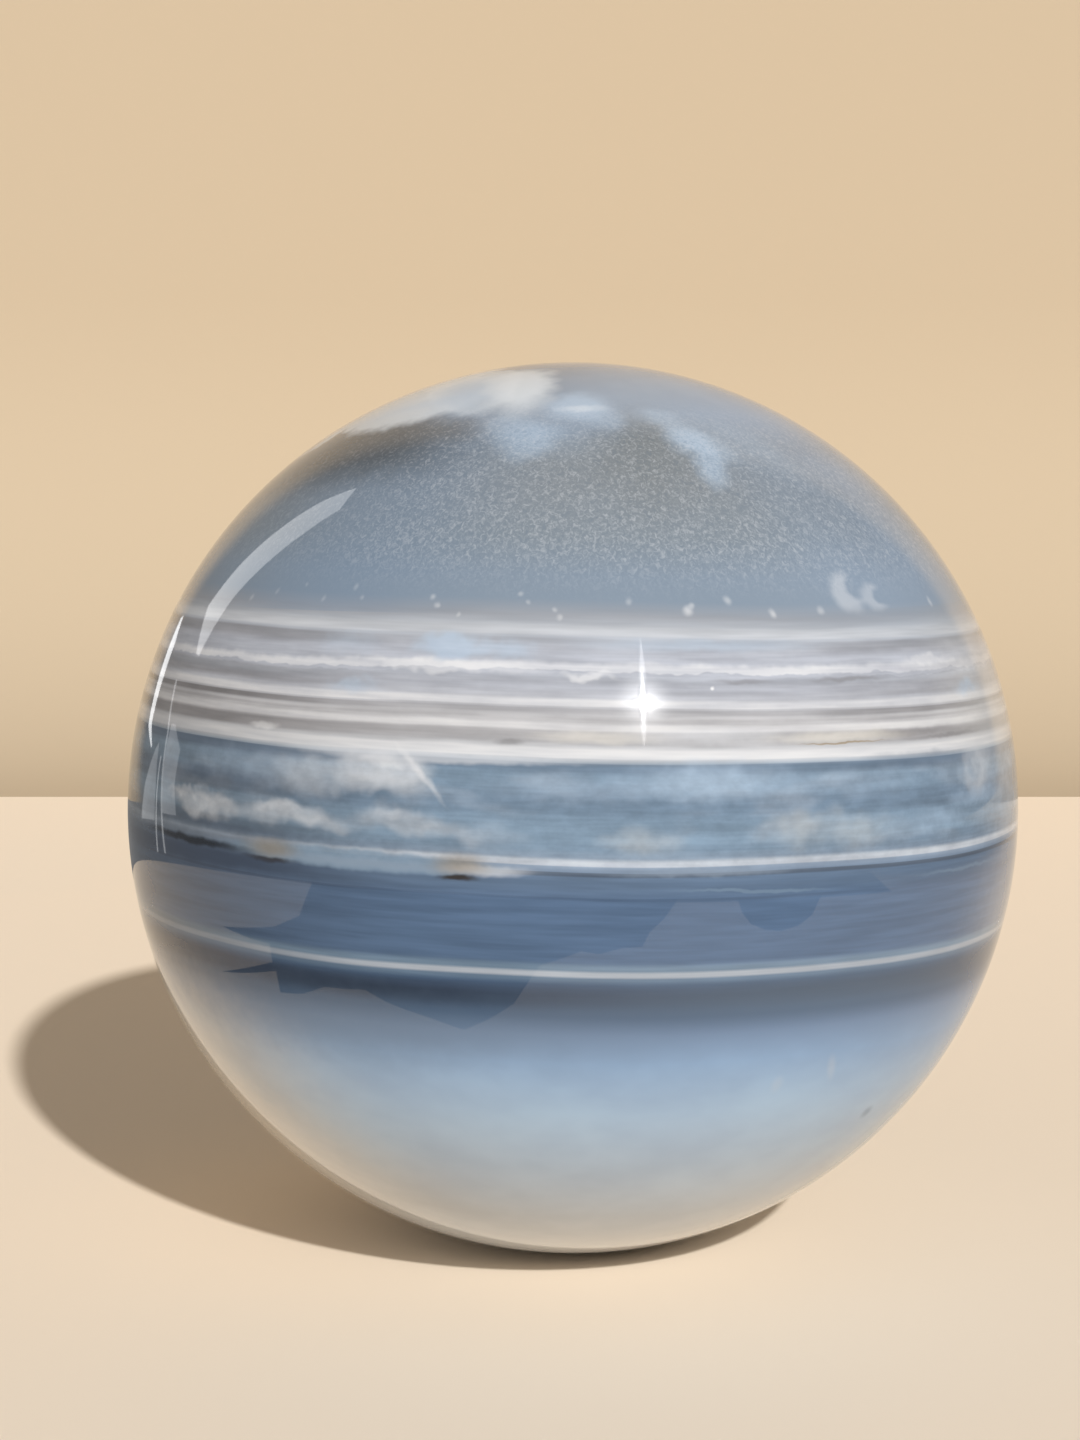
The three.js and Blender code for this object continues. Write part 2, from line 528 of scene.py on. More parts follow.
# Crescents: turn, height, half width, half height, then the notch's shift and rise as shares of those, its
# size as a share of them, and the strength
CRESCENTS = (
    (38.3, 20.9, 2.7, 1.45, 0.7, 0.25, 0.62, 0.42),
    (43.3, 20.5, 2.5, 1, 0.6, 0.05, 0.62, 0.36),
    (55.8, 6.3, 3, 1.9, 0, 0.2, 0.62, 0.2),
)


class Pattern(Nodes):
    """A shader tree, with the short ways that the stone's pattern needs."""

    def ramp(self, height, stops):
        """The colours at a height, from a list that runs from the top down."""
        highest, lowest = stops[0][0], stops[-1][0]
        levels = {"Value": height, "From Min": lowest, "From Max": highest}
        node = self.add("ShaderNodeValToRGB", {"Fac": self.add("ShaderNodeMapRange", levels).outputs[0]})
        band = node.color_ramp
        while len(band.elements) < len(stops):
            band.elements.new(0.5)
        for element, (level, colour) in zip(band.elements, reversed(stops)):
            element.position = (level - lowest) / (highest - lowest)
            element.color = COLOURS[colour]
        return node.outputs["Color"]

    def lay(self, under, mask, colour, blend="MIX"):
        """A colour laid over another as far as a mask says."""
        over = COLOURS[colour] if isinstance(colour, str) else colour
        node = self.add("ShaderNodeMix", data_type="RGBA", blend_type=blend)
        self.put(mask, node.inputs[0])
        self.put(under, node.inputs[6])
        self.put(over, node.inputs[7])
        return node.outputs[2]

    def vector(self, operation, *values):
        node = self.add("ShaderNodeVectorMath", operation=operation)
        for place, value in enumerate(values):
            self.put(value, node.inputs[place])
        return node.outputs["Value" if operation == "LENGTH" else "Vector"]

    def noise(self, place, size, stretch=(1, 1, 1), detail=2, roughness=0.5, distortion=0.0, kind="Fac"):
        """Noise whose features are about as large as the size given, in millimetres."""
        scaled = self.vector("MULTIPLY", place, [1 / (size * along) for along in stretch])
        inputs = {"Vector": scaled, "Scale": 1, "Detail": detail, "Roughness": roughness}
        return self.add("ShaderNodeTexNoise", {**inputs, "Distortion": distortion}).outputs[kind]

    def smooth(self, value, low, high, low_to=0.0, high_to=1.0):
        """A value that goes softly from one level to another while the value given goes from low to high."""
        levels = {"Value": value, "From Min": low, "From Max": high, "To Min": low_to, "To Max": high_to}
        return self.add("ShaderNodeMapRange", levels, interpolation_type="SMOOTHSTEP").outputs[0]

    def between(self, value, rise, fall):
        """A mask that rises softly over two levels and falls over two others."""
        return self.times(self.smooth(value, *rise), self.smooth(value, *fall))

    def placed(self, group, inputs):
        """The outputs of a shader group placed in this tree."""
        return self.add("ShaderNodeGroup", inputs, node_tree=group).outputs


def shader_group(name, inputs, outputs):
    """A shader group with the sockets named, and nothing in it yet but its inputs."""
    tree = bpy.data.node_groups.new(name, "ShaderNodeTree")
    for direction, sockets in (("INPUT", inputs), ("OUTPUT", outputs)):
        for socket, kind in sockets.items():
            tree.interface.new_socket(socket, in_out=direction, socket_type="NodeSocket" + kind)
    nodes = Pattern(tree)
    return nodes, nodes.add("NodeGroupInput").outputs


# The sides, as shares of the level circle's radius to the right of the middle, and the front, by the distance
# behind the middle: where each starts and where it is full
LEFT_SIDE = (-0.3, -0.78)
RIGHT_SIDE = (0.4, 0.75)
FRONT_SIDE = (4, -14)
# Keeps the level circle from shrinking to nothing at the top and the bottom
LEAST_LEVEL_RADIUS = 1

# How the bands wander up and down, and how much more the torn ones do
SLOW_NOISE = {"size": 22, "detail": 0}
BAND_WANDER = 0.5
TORN_BAND_WANDER = 0.9
TORN_BAND_LEFT_DROP = 0.35

# How far noise pushes the edges of each kind, in degrees of turn and millimetres of height
EDGE_NOISE = {"size": 2.2, "roughness": 0.65, "kind": "Color"}
LUMP_NOISE = {"size": 3.6, "kind": "Color"}
CALM_PUSH = (1.5, 0.6, 0)
TORN_PUSH = (5, 1.8, 0)
LUMPY_PUSH = (7, 3, 0)
LUMPY_EDGE_PUSH = (2, 0.9, 0)
DOME_PUSH = (1.5, 1.5, 0)
MIDDLE_OF_NOISE = (0.5, 0.5, 0.5)


def stone_places_group():
    """Where a point of the stone is, for all its patterns.

    Place is in millimetres from the centre, square to the bands. Plain is the same unrolled, as turn and
    height, and Calm, Torn and Lumpy are Plain pushed about by noise, for edges of those kinds.
    """
    vectors = ("Place", "Plain", "Calm", "Torn", "Lumpy", "Dome")
    values = ("Height", "Level", "Torn Level", "Left", "Right", "Front", "Slow")
    outputs = {**dict.fromkeys(vectors, "Vector"), **dict.fromkeys(values, "Float")}
    nodes, given = shader_group("Stone Places", {"Object": "Vector"}, outputs)
    place = nodes.add(
        "ShaderNodeMapping",
        {
            "Vector": given["Object"],
            "Location": (0, 0, CENTRE_HEIGHT),
            "Rotation": (0, BAND_TILT, 0),
            "Scale": (MILLIMETRE, MILLIMETRE, MILLIMETRE),
        },
        vector_type="TEXTURE",
    ).outputs[0]
    parts = nodes.apart(place)
    right, back, height = parts["X"], parts["Y"], parts["Z"]
    turn = nodes.math("DEGREES", nodes.math("ARCTAN2", right, nodes.times(back, -1)))
    plain = nodes.together(turn, height)
    level_area = nodes.minus(RADIUS_MM ** 2 + LEAST_LEVEL_RADIUS ** 2, nodes.times(height, height))
    sideways = nodes.over(right, nodes.math("SQRT", level_area))
    left = nodes.smooth(sideways, *LEFT_SIDE)
    slow = nodes.noise(place, **SLOW_NOISE)
    level = nodes.math("MULTIPLY_ADD", nodes.minus(slow, 0.5), BAND_WANDER, height)
    push = nodes.vector("SUBTRACT", nodes.noise(place, **EDGE_NOISE), MIDDLE_OF_NOISE)
    lumps = nodes.vector("SUBTRACT", nodes.noise(place, **LUMP_NOISE), MIDDLE_OF_NOISE)
    rough_plain = nodes.vector("MULTIPLY_ADD", push, LUMPY_EDGE_PUSH, plain)
    lower_left = nodes.math("MULTIPLY_ADD", left, TORN_BAND_LEFT_DROP, level)
    nodes.add(
        "NodeGroupOutput",
        {
            "Place": place,
            "Plain": plain,
            "Calm": nodes.vector("MULTIPLY_ADD", push, CALM_PUSH, plain),
            "Torn": nodes.vector("MULTIPLY_ADD", push, TORN_PUSH, plain),
            "Lumpy": nodes.vector("MULTIPLY_ADD", lumps, LUMPY_PUSH, rough_plain),
            "Dome": nodes.vector("MULTIPLY_ADD", push, DOME_PUSH, place),
            "Height": height,
            "Level": level,
            "Torn Level": nodes.math("MULTIPLY_ADD", nodes.apart(push)["X"], TORN_BAND_WANDER, lower_left),
            "Left": left,
            "Right": nodes.smooth(sideways, *RIGHT_SIDE),
            "Front": nodes.smooth(back, *FRONT_SIDE),
            "Slow": slow,
        },
    )
    return nodes.tree


def band_group():
    """The mask of one level band, soft above and below."""
    names = ("Height", "Middle", "Half Thickness", "Soft Above", "Soft Below", "Strength")
    nodes, given = shader_group("Level Band", {name: "Float" for name in names}, {"Mask": "Float"})
    top = nodes.plus(given["Middle"], given["Half Thickness"])
    bottom = nodes.minus(given["Middle"], given["Half Thickness"])
    above = nodes.smooth(given["Height"], nodes.plus(top, given["Soft Above"]), top, 0.0, given["Strength"])
    below = nodes.smooth(given["Height"], nodes.minus(bottom, given["Soft Below"]), bottom)
    nodes.add("NodeGroupOutput", {"Mask": nodes.times(above, below)})
    return nodes.tree


def patch_group():
    """The mask of an oval patch."""
    inputs = dict.fromkeys(("Place", "Centre", "Half Size"), "Vector")
    inputs.update({"Softness": "Float", "Strength": "Float"})
    nodes, given = shader_group("Oval Patch", inputs, {"Mask": "Float"})
    share = nodes.vector("DIVIDE", (1, 1, 1), given["Half Size"])
    start = nodes.vector("MULTIPLY", nodes.vector("MULTIPLY", given["Centre"], share), (-1, -1, -1))
    reach = nodes.vector("LENGTH", nodes.vector("MULTIPLY_ADD", given["Place"], share, start))
    inner = nodes.minus(1.0, given["Softness"])
    outer = nodes.plus(1.0, given["Softness"])
    nodes.add("NodeGroupOutput", {"Mask": nodes.smooth(reach, outer, inner, 0.0, given["Strength"])})
    return nodes.tree


# Fine level streaks: their noise, its darkest and lightest level and the tones of those, the heights between
# which they fade in and out, and their strength
STREAK_NOISE = {"size": 0.75, "stretch": (16, 16, 1), "roughness": 0.65}
STREAK_TONES = (0.25, 0.75, 0.3, 0.7)
STREAKS_IN = (-12, -7.5)
STREAKS_OUT = (20.5, 17)
STREAK_STRENGTH = 0.34


def streaks_group():
    """Fine level streaks, as a grey tone for Overlay and the mask of the heights that have them."""
    inputs = {"Place": "Vector", "Height": "Float"}
    nodes, given = shader_group("Level Streaks", inputs, {"Tone": "Float", "Mask": "Float"})
    streaks = nodes.noise(given["Place"], **STREAK_NOISE)
    within = nodes.between(given["Height"], STREAKS_IN, STREAKS_OUT)
    tone = nodes.smooth(streaks, *STREAK_TONES)
    nodes.add("NodeGroupOutput", {"Tone": tone, "Mask": nodes.times(within, STREAK_STRENGTH)})
    return nodes.tree


# The mottling's noise, in spots of size 1, and where it is darkest and lightest
MOTTLE_NOISE = {"size": 1, "detail": 3, "roughness": 0.62}
MOTTLE_LEVELS = (0.25, 0.75)


def mottle_group():
    """Soft mottling, as a grey tone for Overlay."""
    inputs = {"Place": "Vector", "Size": "Float", "Stretch": "Float", "Contrast": "Float"}
    nodes, given = shader_group("Soft Mottle", inputs, {"Tone": "Float"})
    across = nodes.over(1, nodes.times(given["Size"], given["Stretch"]))
    share = nodes.together(across, across, nodes.over(1, given["Size"]))
    spots = nodes.noise(nodes.vector("MULTIPLY", given["Place"], share), **MOTTLE_NOISE)
    spread = nodes.times(nodes.minus(nodes.smooth(spots, *MOTTLE_LEVELS), 0.5), given["Contrast"])
    nodes.add("NodeGroupOutput", {"Tone": nodes.plus(spread, 0.5)})
    return nodes.tree


STONE_PLACES = stone_places_group()
LEVEL_BAND = band_group()
OVAL_PATCH = patch_group()
LEVEL_STREAKS = streaks_group()
SOFT_MOTTLE = mottle_group()
# Mottling: the heights between which it fades in at the bottom and out at the top, the size of its spots, how
# much wider than high they are, and their contrast
MOTTLES = (
    ((8.8, 9.6), (17.6, 16.4), 1.3, 2.6, 0.05),
    ((-0.6, 0.8), (8, 7.2), 1.3, 1.6, 0.11),
    ((-40, -32), (-11.5, -17), 6, 1.8, 0.075),
)
# How far the tilt of the bands, the noise and a patch's own softness can carry it out of its zone
ZONE_MARGIN = 1.6

# The clouds that go on all round: their noise, its level where they start and where they are full, the
# heights between which they fade in and out, and their strength behind and in front
WISP_NOISE = {"size": 3.2, "stretch": (3, 3, 1), "roughness": 0.6}
WISP_LEVELS = (0.5, 0.66)
WISPS_IN = (0.8, 2.4)
WISPS_OUT = (8.2, 6.8)
WISPS_BEHIND_AND_IN_FRONT = (0.65, 0.12)

# How much wider than high the specks are, and how soft the specks and the crescents
SPECK_WIDTH = 1.6
SPECK_SOFTNESS = 0.9
CRESCENT_SOFTNESS = 0.35

# The dome's own clouds, in the same way, the lumps in its patches' edges, and how far behind the middle
# those start and are full
DOME_CLOUD_NOISE = {"size": 9}
DOME_CLOUD_LEVELS = (0.46, 0.64)
DOME_CLOUDS_IN = (26, 33)
DOME_CLOUDS_BEHIND_AND_IN_FRONT = (0.6, 0.12)
DOME_LUMP_NOISE = {"size": 4.5, "roughness": 0.6, "kind": "Color"}
DOME_FREE_BEHIND = (-13, -3)

# Its hair-like grain: its noise, the heights between which it fades in and out, its share on the left, and
# for its light and its dark hairs the noise's level where they start and are full, and their strength
HAIR_NOISE = {"size": 0.33, "stretch": (1, 1, 1.6), "detail": 1.5, "roughness": 0.7, "distortion": 1}
GRAIN_IN = (19.5, 24.5)
GRAIN_OUT = (37, 32.5)
GRAIN_ON_LEFT = 0.5
LIGHT_HAIRS = (0.44, 0.78, 0, 0.32)
DARK_HAIRS = (0.52, 0.24, 0, 0.26)

# The polish, from the clearest to the dullest, and the ground flat, which ends this high over the floor
POLISH_ROUGHNESS = (0.025, 0.045)
GROUND_ROUGHNESS = (0.42, 0.55)
GROUND_NOISE = {"size": 0.5}
GROUND_EDGE = (0.0004, 0.0001)
GROUND_PALENESS = 0.6
NOISE_RANGE = (0.3, 0.7)
AGATE_IOR = 1.54


class AgateZone(Pattern):
    """The stone's finish in one zone. All zones share their noise, so they run into each other."""

    def __init__(self, name, low, high):
        self.material = bpy.data.materials.new(name)
        self.material.use_nodes = True
        super().__init__(self.material.node_tree)
        self.low = low
        self.high = high
        self.from_origin = self.add("ShaderNodeTexCoord").outputs["Object"]
        self.at = self.placed(STONE_PLACES, {"Object": self.from_origin})
        self.colour = None
        self.strengths = {}

    def holds(self, middle, up=0.0, down=0.0):
        """Whether a pattern about this height, reaching so far up and down, shows in this zone."""
        return middle - down - ZONE_MARGIN < self.high and middle + up + ZONE_MARGIN > self.low

    def lay_on(self, mask, colour, blend="MIX"):
        self.colour = self.lay(self.colour, mask, colour, blend)

    def oval(self, place, centre, half_size, softness, strength):
        inputs = {"Place": place, "Centre": centre, "Half Size": half_size}
        return self.placed(OVAL_PATCH, {**inputs, "Softness": softness, "Strength": strength})["Mask"]

    def strength_by_side(self, shares):
        """A strength that changes from the left over the middle to the right."""
        if shares not in self.strengths:
            left, centre, right = shares
            by_left = self.math("MULTIPLY_ADD", self.at["Left"], left - centre, centre)
            self.strengths[shares] = self.math("MULTIPLY_ADD", self.at["Right"], right - centre, by_left)
        return self.strengths[shares]

    def lay_main_colours(self):
        level = self.at["Level"]
        if self.low < BODY_CHANGE + ZONE_MARGIN:
            self.colour = self.ramp(level, LOWER_BODY)
        if self.high > BODY_CHANGE - ZONE_MARGIN:
            upper = self.ramp(level, UPPER_BODY)
            if self.colour:
                self.lay_on(self.math("GREATER_THAN", level, BODY_CHANGE), upper)
            else:
                self.colour = upper

    def lay_bands(self, bands, level):
        for middle, half, soft_above, soft_below, tint, strength, shares in bands:
            if self.holds(middle, half + soft_above, half + soft_below):
                inputs = {
                    "Height": level,
                    "Middle": middle,
                    "Half Thickness": half,
                    "Soft Above": soft_above,
                    "Soft Below": soft_below,
                    "Strength": self.times(self.strength_by_side(shares), strength),
                }
                self.lay_on(self.placed(LEVEL_BAND, inputs)["Mask"], tint)

    def lay_streaks(self):
        streaks = self.placed(LEVEL_STREAKS, {"Place": self.at["Place"], "Height": self.at["Height"]})
        self.lay_on(streaks["Mask"], streaks["Tone"], "OVERLAY")

    def lay_mottles(self):
        for rise, fall, size, stretch, contrast in MOTTLES:
            if rise[1] < self.high - ZONE_MARGIN and fall[0] > self.low + ZONE_MARGIN:
                inputs = {"Place": self.at["Place"], "Size": size, "Stretch": stretch, "Contrast": contrast}
                within = self.between(self.at["Height"], rise, fall)
                self.lay_on(within, self.placed(SOFT_MOTTLE, inputs)["Tone"], "OVERLAY")

    def lay_clouds_all_round(self):
        """Clouds that go on round the sides and the back."""
        wisps = self.noise(self.at["Place"], **WISP_NOISE)
        zone = self.between(self.at["Height"], WISPS_IN, WISPS_OUT)
        clouds = self.times(zone, self.smooth(wisps, *WISP_LEVELS))
        reach = self.smooth(self.at["Front"], 0, 1, *WISPS_BEHIND_AND_IN_FRONT)
        self.lay_on(self.times(clouds, reach), "pale")

    def lay_side_patches(self):
        for around, middle, half_width, half_height, softness, edge, tint, strength, climb in SIDE_PATCHES:
            rise = climb / CLIMB_OVER
            reach = half_height * (1 + softness) + abs(rise) * half_width
            if not self.holds(middle, reach, reach):
                continue
            at = self.at[edge.capitalize()]
            if climb:
                parts = self.apart(at)
                at = self.together(parts["X"], self.math("MULTIPLY_ADD", parts["X"], -rise, parts["Y"]))
                middle = middle - around * rise
            mask = self.oval(at, (around, middle, 0), (half_width, half_height, 1), softness, strength)
            self.lay_on(mask, tint)

    def lay_specks(self):
        for around, middle, half_height, strength in SPECKS:
            if self.holds(middle, half_height, half_height):
                half_size = (half_height * SPECK_WIDTH, half_height, 1)
                centre = (around, middle, 0)
                self.lay_on(self.oval(self.at["Calm"], centre, half_size, SPECK_SOFTNESS, strength), "white")

    def lay_crescents(self):
        calm = self.at["Calm"]
        for around, middle, half_width, half_height, shift, rise, size, strength in CRESCENTS:
            if self.holds(middle, half_height, half_height):
                centre = (around, middle, 0)
                disc = self.oval(calm, centre, (half_width, half_height, 1), CRESCENT_SOFTNESS, 1)
                notch_centre = (around + shift * half_width, middle + rise * half_height, 0)
                notch_size = (half_width * size, half_height * size, 1)
                notch = self.oval(calm, notch_centre, notch_size, CRESCENT_SOFTNESS, 1)
                crescent = self.math("SUBTRACT", disc, notch, clamp=True)
                self.lay_on(self.times(crescent, strength), "pale")

    def lay_dome(self):
        """The dome's clouds, its patches, and its fine hair-like grain."""
        place, height = self.at["Place"], self.at["Height"]
        clouds = self.smooth(self.noise(place, **DOME_CLOUD_NOISE), *DOME_CLOUD_LEVELS)
        high_clouds = self.times(self.smooth(height, *DOME_CLOUDS_IN), clouds)
        reach = self.smooth(self.at["Front"], 0, 1, *DOME_CLOUDS_BEHIND_AND_IN_FRONT)
        self.lay_on(self.times(high_clouds, reach), "ice")
        lumps = self.vector("SUBTRACT", self.noise(place, **DOME_LUMP_NOISE), MIDDLE_OF_NOISE)
        freedom = self.smooth(self.apart(self.at["Dome"])["Y"], *DOME_FREE_BEHIND, 0, DOME_FREEDOM)
        parts = self.apart(self.vector("MULTIPLY_ADD", lumps, freedom, self.at["Dome"]))
        seen_from_above = {}
        for lean in (0, MILK_LEAN, SMOKE_LEAN):
            leaning_back = self.math("MULTIPLY_ADD", parts["X"], lean, parts["Y"])
            seen_from_above[lean] = self.together(parts["X"], leaning_back)
        for across, behind, half_width, half_depth, softness, lean, tint, strength in DOME_PATCHES:
            centre = (across, behind + across * lean, 0)
            half_size = (half_width, half_depth, 1)
            self.lay_on(self.oval(seen_from_above[lean], centre, half_size, softness, strength), tint)
        zone = self.between(height, GRAIN_IN, GRAIN_OUT)
        reach = self.times(zone, self.smooth(self.at["Left"], 1, 0, GRAIN_ON_LEFT, 1))
        hairs = self.noise(place, **HAIR_NOISE)
        self.lay_on(self.times(reach, self.smooth(hairs, *LIGHT_HAIRS)), "pale")
        self.lay_on(self.times(reach, self.smooth(hairs, *DARK_HAIRS)), "slate")

    def lay_polish(self):
        """The polish, and the ground flat underneath, which isn't polished."""
        shader = self.material.node_tree.nodes["Principled BSDF"]
        roughness = self.smooth(self.at["Slow"], *NOISE_RANGE, *POLISH_ROUGHNESS)
        if self.holds(-RADIUS_MM):
            flat = self.smooth(self.apart(self.from_origin)["Z"], *GROUND_EDGE)
            self.lay_on(self.times(flat, GROUND_PALENESS), "haze")
            grain = self.noise(self.at["Place"], **GROUND_NOISE)
            roughness = self.mix(flat, roughness, self.smooth(grain, *NOISE_RANGE, *GROUND_ROUGHNESS))
        self.put(self.colour, shader.inputs["Base Color"])
        self.put(roughness, shader.inputs["Roughness"])
        shader.inputs["IOR"].default_value = AGATE_IOR


def agate(name, low, high):
    """The finish of one zone of the stone, from its lowest height to its highest."""
    zone = AgateZone(name, low, high)
    zone.lay_main_colours()
    zone.lay_bands(BANDS, zone.at["Level"])
    zone.lay_bands(TORN_BANDS, zone.at["Torn Level"])
    if low < STREAKS_OUT[0] and high > STREAKS_IN[0]:
        zone.lay_streaks()
    if low < WISPS_OUT[0] and high > WISPS_IN[0] + ZONE_MARGIN:
        zone.lay_clouds_all_round()
    zone.lay_side_patches()
    zone.lay_mottles()
    zone.lay_specks()
    zone.lay_crescents()
    if high > RADIUS_MM:
        zone.lay_dome()
    zone.lay_polish()
    return zone.material


# The stage

STAGE_SHEEN = 0.1
FLOOR_COLOUR = srgb(240, 226, 208)
FLOOR_ROUGHNESS = 0.8
FLOOR_REACH = 3.0
BACKDROP_COLOUR = srgb(187, 171, 148)
BACKDROP_ROUGHNESS = 0.9
BACKDROP_DISTANCE = 0.45
BACKDROP_LEFT = -0.24
BACKDROP_RIGHT = 0.38
BACKDROP_HEIGHT = 0.7
# Past its sides and its top it fades out over this much more
BACKDROP_SIDE_FADE = 0.12
BACKDROP_TOP_FADE = 0.45
COVE_RADIUS = 0.12
COVE_FACETS = 12

# The polish mirrors only a round part of the floor, and a strip of it at the back
MIRRORED_FLOOR_CENTRE = (-0.018, 0.02)
MIRRORED_FLOOR_RADIUS = 0.19
MIRRORED_FLOOR_FACETS = 72
MIRRORED_FLOOR_LIFT = 0.0002
STRIP_LEFT = -0.06
STRIP_RIGHT = 0.5
MIRRORED_STRIP = (
    (STRIP_LEFT, 0.105), (0.3, -0.13), (STRIP_RIGHT, -0.13),
    (STRIP_RIGHT, BACKDROP_DISTANCE), (STRIP_LEFT, BACKDROP_DISTANCE),
)
# Between these distances to the right the strip fades out, but not this far back
STRIP_FADE_ACROSS = (0.235, 0.17)
STRIP_FADE_BACK = (0.13, 0.25)


def plain_finish(name, colour, roughness):
    material = bpy.data.materials.new(name)
    material.use_nodes = True
    shader = material.node_tree.nodes["Principled BSDF"]
    shader.inputs["Base Color"].default_value = colour
    shader.inputs["Roughness"].default_value = roughness
    shader.inputs["Specular IOR Level"].default_value = STAGE_SHEEN
    return material


def fading_finish(name, colour, roughness, shown):
    """A plain finish that fades out as a function says, by the place to the right, to the back and up."""
    material = plain_finish(name, colour, roughness)
    nodes = Pattern(material.node_tree)
    parts = nodes.apart(nodes.add("ShaderNodeTexCoord").outputs["Object"])
    alpha = material.node_tree.nodes["Principled BSDF"].inputs["Alpha"]
    nodes.put(shown(nodes, parts["X"], parts["Y"], parts["Z"]), alpha)
    return material


def backdrop_shown(nodes, right, back, up):
    """How far the backdrop shows: it ends softly, so that the polish mirrors no hard edge of it."""
    from_left = nodes.smooth(right, BACKDROP_LEFT - BACKDROP_SIDE_FADE, BACKDROP_LEFT)
    from_right = nodes.smooth(right, BACKDROP_RIGHT + BACKDROP_SIDE_FADE, BACKDROP_RIGHT)
    from_top = nodes.smooth(up, BACKDROP_HEIGHT + BACKDROP_TOP_FADE, BACKDROP_HEIGHT)
    return nodes.times(nodes.times(from_left, from_right), from_top)


def strip_shown(nodes, right, back, up):
    """How far the mirrored strip shows: it fades out to the front right."""
    near_middle = nodes.smooth(right, *STRIP_FADE_ACROSS)
    return nodes.math("MAXIMUM", near_middle, nodes.smooth(back, *STRIP_FADE_BACK))


def stage_piece(name, points, faces, finish):
    mesh = bpy.data.meshes.new(name)
    mesh.from_pydata(points, [], faces)
    mesh.materials.append(finish)
    piece = bpy.data.objects.new(name, mesh)
    bpy.context.scene.collection.objects.link(piece)
    return piece


def flat_card(name, points, finish):
    """A card with this outline."""
    return stage_piece(name, points, [tuple(range(len(points)))], finish)


def sheet_of(name, rows, finish):
    """A smooth surface from rows of points, each row as long as the next."""
    width = len(rows[0])
    faces = []
    for down in range(len(rows) - 1):
        for along in range(width - 1):
            corner = down * width + along
            faces.append((corner, corner + 1, corner + width + 1, corner + width))
    surface = stage_piece(name, [point for row in rows for point in row], faces, finish)
    for face in surface.data.polygons:
        face.use_smooth = True
    return surface


def only_mirrored(surface):
    surface.visible_camera = False
    surface.visible_diffuse = False
    surface.visible_shadow = False


def floor_and_what_is_mirrored():
    """The floor that the camera sees, and the parts of it that the polish mirrors."""
    finish = plain_finish("Plain Floor", FLOOR_COLOUR, FLOOR_ROUGHNESS)
    far = FLOOR_REACH
    floor = sheet_of("floor", [[(-far, -far, 0), (far, -far, 0)], [(-far, far, 0), (far, far, 0)]], finish)
    floor.visible_glossy = False
    middle, behind = MIRRORED_FLOOR_CENTRE
    rim = []
    for step in range(MIRRORED_FLOOR_FACETS + 1):
        turn = math.tau * step / MIRRORED_FLOOR_FACETS
        right = middle + MIRRORED_FLOOR_RADIUS * math.cos(turn)
        back = behind + MIRRORED_FLOOR_RADIUS * math.sin(turn)
        rim.append((right, back, MIRRORED_FLOOR_LIFT))
    hub = (middle, behind, MIRRORED_FLOOR_LIFT)
    only_mirrored(sheet_of("mirrored_round", [rim, [hub] * len(rim)], finish))
    strip = [(right, back, MIRRORED_FLOOR_LIFT / 2) for right, back in MIRRORED_STRIP]
    fading = fading_finish("Fading Floor", FLOOR_COLOUR, FLOOR_ROUGHNESS, strip_shown)
    only_mirrored(flat_card("mirrored_strip", strip, fading))


def backdrop_sheet(name, left, right, finish):
    """An upright sheet from one side to another, with a cove at its foot."""
    rows = []
    for step in range(COVE_FACETS + 1):
        bend = math.pi / 2 * step / COVE_FACETS
        depth = BACKDROP_DISTANCE - COVE_RADIUS * (1 - math.sin(bend))
        height = COVE_RADIUS * (1 - math.cos(bend))
        rows.append([(left, depth, height), (right, depth, height)])
    rows.append([(left, BACKDROP_DISTANCE, BACKDROP_HEIGHT), (right, BACKDROP_DISTANCE, BACKDROP_HEIGHT)])
    sheet_of(name, rows, finish)


def backdrop():
    outer_left, outer_right = BACKDROP_LEFT - BACKDROP_SIDE_FADE, BACKDROP_RIGHT + BACKDROP_SIDE_FADE
    plain = plain_finish("Plain Backdrop", BACKDROP_COLOUR, BACKDROP_ROUGHNESS)
    fading = fading_finish("Fading Backdrop", BACKDROP_COLOUR, BACKDROP_ROUGHNESS, backdrop_shown)
    backdrop_sheet("backdrop", BACKDROP_LEFT, BACKDROP_RIGHT, plain)
    backdrop_sheet("backdrop_left", outer_left, BACKDROP_LEFT, fading)
    backdrop_sheet("backdrop_right", BACKDROP_RIGHT, outer_right, fading)
    rows = []
    for height in (BACKDROP_HEIGHT, BACKDROP_HEIGHT + BACKDROP_TOP_FADE):
        rows.append([(outer_left, BACKDROP_DISTANCE, height), (outer_right, BACKDROP_DISTANCE, height)])
    sheet_of("backdrop_top", rows, fading)


# Camera and light


